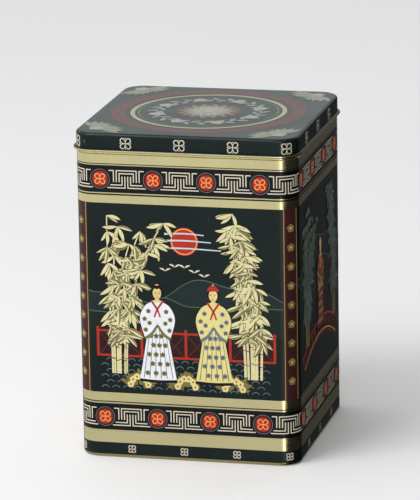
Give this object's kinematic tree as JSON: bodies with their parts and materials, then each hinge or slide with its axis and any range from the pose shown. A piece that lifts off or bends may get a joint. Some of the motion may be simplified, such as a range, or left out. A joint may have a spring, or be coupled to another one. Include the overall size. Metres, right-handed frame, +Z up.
{
  "type": "square tea tin",
  "caption": "Square lithographed tea tin with a slip lid over a press-in inner lid with a knob, a lock-seamed wall and a hooked base.",
  "frame": {"origin": "centre of the tin's plan at the plane it stands on, the bottom centre of its bounding box", "axes": "+Z up along the tin's axis to the lid, -Y towards the printed front, +X to the viewer's right of the front"},
  "size_m": [0.1048, 0.1048, 0.1515],
  "materials": {
    "printed_wall": "dark teal lithograph with gold bands under gloss varnish",
    "printed_lid": "dark teal lithograph under gloss varnish",
    "plain_tinplate": "bright tinplate",
    "gold_lacquer": "gold-lacquered tinplate",
    "knob": "gloss black",
    "seam_compound": "matt lining compound"
  },
  "bodies": {
    "tin_body": {"body_wall": "printed_wall", "base_end": "plain_tinplate", "base_seam_compound": "seam_compound"},
    "lid": {"lid_shell": "printed_lid"},
    "inner_lid": {"inner_lid_pan": "gold_lacquer", "inner_lid_knob": "knob", "knob_rivet": "plain_tinplate"}
  },
  "joints": [
    {"name": "lid_lift", "type": "slide", "parent": "tin_body", "child": "lid", "axis": [0, 0, 1], "range_m": [0, 0.2]},
    {"name": "inner_lid_lift", "type": "slide", "parent": "tin_body", "child": "inner_lid", "axis": [0, 0, 1], "range_m": [0, 0.1]}
  ],
  "couplings": [
    {"joint": "inner_lid_lift", "follows": "lid_lift", "ratio": 0.5}
  ]
}
